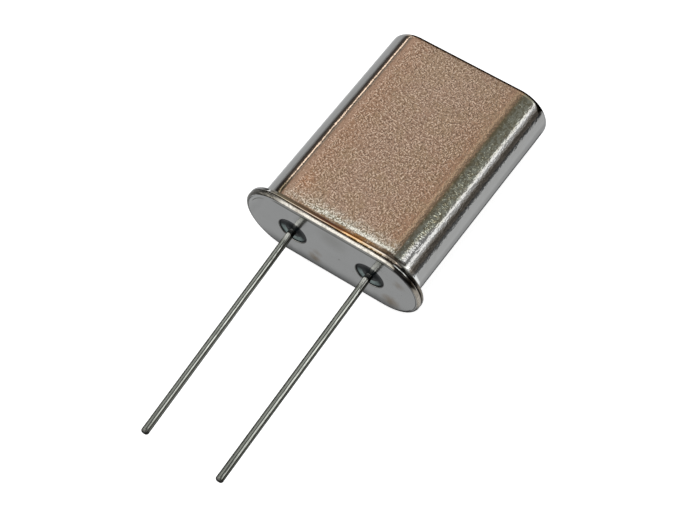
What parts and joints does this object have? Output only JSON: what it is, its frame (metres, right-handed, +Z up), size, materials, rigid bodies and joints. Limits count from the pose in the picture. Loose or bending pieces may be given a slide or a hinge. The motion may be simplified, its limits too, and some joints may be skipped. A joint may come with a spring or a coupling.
{
  "type": "crystal oscillator",
  "caption": "Flat metal can with round ends, welded to a flanged base whose two glass seals carry straight wire leads; a quartz disc hangs in clips inside.",
  "frame": {"origin": "on the table, under the middle of the length and of the width, with the unit lying on its back broad face", "axes": "+X across the width, +Y along the length towards the closed end of the can, +Z up. The unit rests on the rim of its flange and on the edge of the closed end, so the can slopes down by 2.54 degrees towards +Y."},
  "size_m": [0.011, 0.0268, 0.0047],
  "materials": {
    "can_sheet": "satin",
    "base_plate": "satin",
    "seal_glass": "gloss",
    "lead_wire": "bright",
    "spring_strip": "satin",
    "quartz": "polished",
    "silver_film": "matte",
    "silver_adhesive": "matte"
  },
  "bodies": {
    "root": {"can": "can_sheet", "base": "base_plate", "glass_seal_left": "seal_glass", "glass_seal_right": "seal_glass", "lead_left": "lead_wire", "lead_right": "lead_wire", "mounting_clip_left": "spring_strip", "mounting_clip_right": "spring_strip", "quartz_blank": "quartz", "front_electrode": "silver_film", "back_electrode": "silver_film", "adhesive_left": "silver_adhesive", "adhesive_right": "silver_adhesive"}
  },
  "joints": []
}
